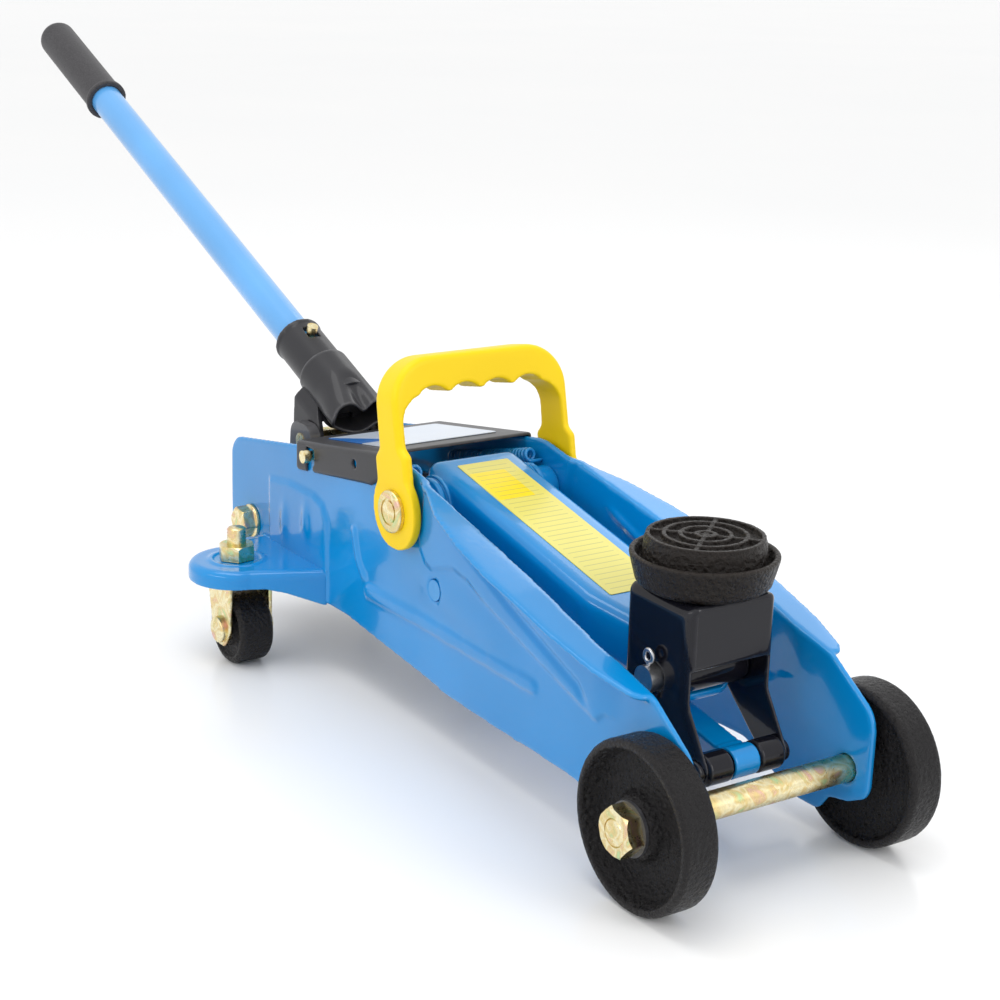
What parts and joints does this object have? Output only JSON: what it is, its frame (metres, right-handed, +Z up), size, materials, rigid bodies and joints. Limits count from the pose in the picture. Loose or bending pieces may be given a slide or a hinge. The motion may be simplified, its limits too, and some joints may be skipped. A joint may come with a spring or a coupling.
{
  "type": "car jack",
  "caption": "Low hydraulic trolley jack with splayed side plates, swivelling saddle, pump handle, carry handle and casters.",
  "frame": {"origin": "on the floor, under the middle of the whole jack, handle included", "axes": "+X towards the saddle end, +Y to the jack's left, +Z up"},
  "size_m": [0.7894, 0.1994, 0.3045],
  "materials": {
    "blue_paint": "gloss azure paint",
    "black_paint": "satin black paint",
    "black_cast": "blackened cast iron",
    "zinc": "yellow passivated zinc",
    "steel": "ground steel",
    "grey_paint": "dark paint",
    "tube_paint": "gloss light blue paint",
    "grip_rubber": "moulded grip",
    "yellow_plastic": "moulded",
    "label_white": "printed film",
    "label_yellow": "printed film",
    "seal": "moulded rubber"
  },
  "bodies": {
    "frame": {"side_plate_left": "blue_paint", "side_plate_right": "blue_paint", "caster_ear_left": "blue_paint", "caster_ear_right": "blue_paint", "front_axle": "zinc", "axle_nuts": "zinc", "axle_washers": "zinc", "arm_shaft": "blue_paint", "shaft_collars": "blue_paint", "bail_bolts": "zinc", "anchor_pin": "blue_paint", "anchor_tubes": "zinc", "pump_block": "grey_paint", "pump_barrel": "zinc", "reservoir": "grey_paint", "ram_cylinder": "grey_paint", "ram_gland": "steel", "filler_plug": "seal", "tie_bolts": "zinc", "lever_pin": "zinc", "top_cover": "black_paint", "cover_pins": "zinc", "cover_label": "label_white", "caster_stems": "zinc", "caster_nuts": "zinc", "caster_washers": "zinc", "return_springs": "blue_paint", "plunger_spring": "steel"},
    "front_wheel_left": {"front_wheel_left": "black_cast"},
    "front_wheel_right": {"front_wheel_right": "black_cast"},
    "caster_left": {"caster_yoke_left": "zinc", "caster_axle_left": "zinc"},
    "caster_right": {"caster_yoke_right": "zinc", "caster_axle_right": "zinc"},
    "caster_wheel_left": {"caster_wheel_left": "black_cast"},
    "caster_wheel_right": {"caster_wheel_right": "black_cast"},
    "arm": {"lift_arm": "blue_paint", "pivot_sleeve": "black_paint", "ram_pin": "zinc", "arm_label": "label_yellow"},
    "link": {"level_link": "blue_paint"},
    "bracket": {"saddle_bracket": "black_paint", "saddle_pin": "zinc", "split_pins": "zinc", "link_pin": "black_paint"},
    "saddle": {"saddle_cup": "black_cast", "saddle_ring": "zinc", "saddle_pad": "black_cast"},
    "ram": {"ram_rod": "steel", "piston_seal": "seal", "ram_head": "steel"},
    "plunger": {"pump_plunger": "steel"},
    "lever": {"lever_yoke": "black_paint", "pump_roller": "zinc"},
    "handle": {"handle_socket": "black_paint", "socket_screw": "zinc", "handle_tube": "tube_paint", "handle_grip": "grip_rubber"},
    "release_valve": {"release_valve": "zinc"},
    "carry_handle": {"carry_handle": "yellow_plastic"}
  },
  "joints": [
    {"name": "front_wheel_left_spin", "type": "hinge", "parent": "frame", "child": "front_wheel_left", "pos_m": [0.35874, 0.06, 0.036], "axis": [0, 1, 0], "continuous": true},
    {"name": "front_wheel_right_spin", "type": "hinge", "parent": "frame", "child": "front_wheel_right", "pos_m": [0.35874, -0.06, 0.036], "axis": [0, 1, 0], "continuous": true},
    {"name": "caster_left_swivel", "type": "hinge", "parent": "frame", "child": "caster_left", "pos_m": [0.02874, 0.0745, 0.045], "axis": [0, 0, 1], "continuous": true},
    {"name": "caster_right_swivel", "type": "hinge", "parent": "frame", "child": "caster_right", "pos_m": [0.02874, -0.0745, 0.045], "axis": [0, 0, 1], "continuous": true},
    {"name": "caster_wheel_left_spin", "type": "hinge", "parent": "caster_left", "child": "caster_wheel_left", "pos_m": [0.03424, 0.0745, 0.0189], "axis": [0, 1, 0], "continuous": true},
    {"name": "caster_wheel_right_spin", "type": "hinge", "parent": "caster_right", "child": "caster_wheel_right", "pos_m": [0.03424, -0.0745, 0.0189], "axis": [0, 1, 0], "continuous": true},
    {"name": "arm_lift", "type": "hinge", "parent": "frame", "child": "arm", "pos_m": [0.14574, 0, 0.107], "axis": [0, -1, 0], "range_deg": [0, 72]},
    {"name": "saddle_level", "type": "hinge", "parent": "arm", "child": "bracket", "pos_m": [0.31504, 0, 0.076], "axis": [0, -1, 0], "range_deg": [-72, 0]},
    {"name": "link_tilt", "type": "hinge", "parent": "frame", "child": "link", "pos_m": [0.17444, 0, 0.075], "axis": [0, -1, 0], "range_deg": [0, 72]},
    {"name": "saddle_swivel", "type": "hinge", "parent": "bracket", "child": "saddle", "pos_m": [0.31504, 0, 0.12], "axis": [0, 0, 1], "continuous": true},
    {"name": "ram_stroke", "type": "slide", "parent": "frame", "child": "ram", "axis": [1, 0, 0], "range_m": [0, 0.03971]},
    {"name": "lever_pump", "type": "hinge", "parent": "frame", "child": "lever", "pos_m": [0.00674, 0, 0.106], "axis": [0, 1, 0], "range_deg": [-6, 22]},
    {"name": "plunger_stroke", "type": "slide", "parent": "frame", "child": "plunger", "axis": [0, 0, 1], "range_m": [-0.0019, 0.0068], "deforming": ["plunger_spring"]},
    {"name": "handle_twist", "type": "hinge", "parent": "lever", "child": "handle", "pos_m": [0.01063, 0, 0.12791], "axis": [-0.9234, 0, 0.3838], "range_deg": [0, 180]},
    {"name": "release_turn", "type": "hinge", "parent": "frame", "child": "release_valve", "pos_m": [-0.03326, 0, 0.06], "axis": [-1, 0, 0], "range_deg": [0, 180]},
    {"name": "carry_handle_swing", "type": "hinge", "parent": "frame", "child": "carry_handle", "pos_m": [0.14574, 0, 0.107], "axis": [0, 1, 0], "range_deg": [-43, 9]}
  ],
  "couplings": [
    {"joint": "saddle_level", "follows": "arm_lift", "ratio": -1},
    {"joint": "link_tilt", "follows": "arm_lift", "ratio": 1},
    {"joint": "ram_stroke", "follows": "arm_lift", "m_per_rad": 0.031441},
    {"joint": "plunger_stroke", "follows": "lever_pump", "m_per_rad": 0.0174},
    {"joint": "release_turn", "follows": "handle_twist", "ratio": 1}
  ]
}
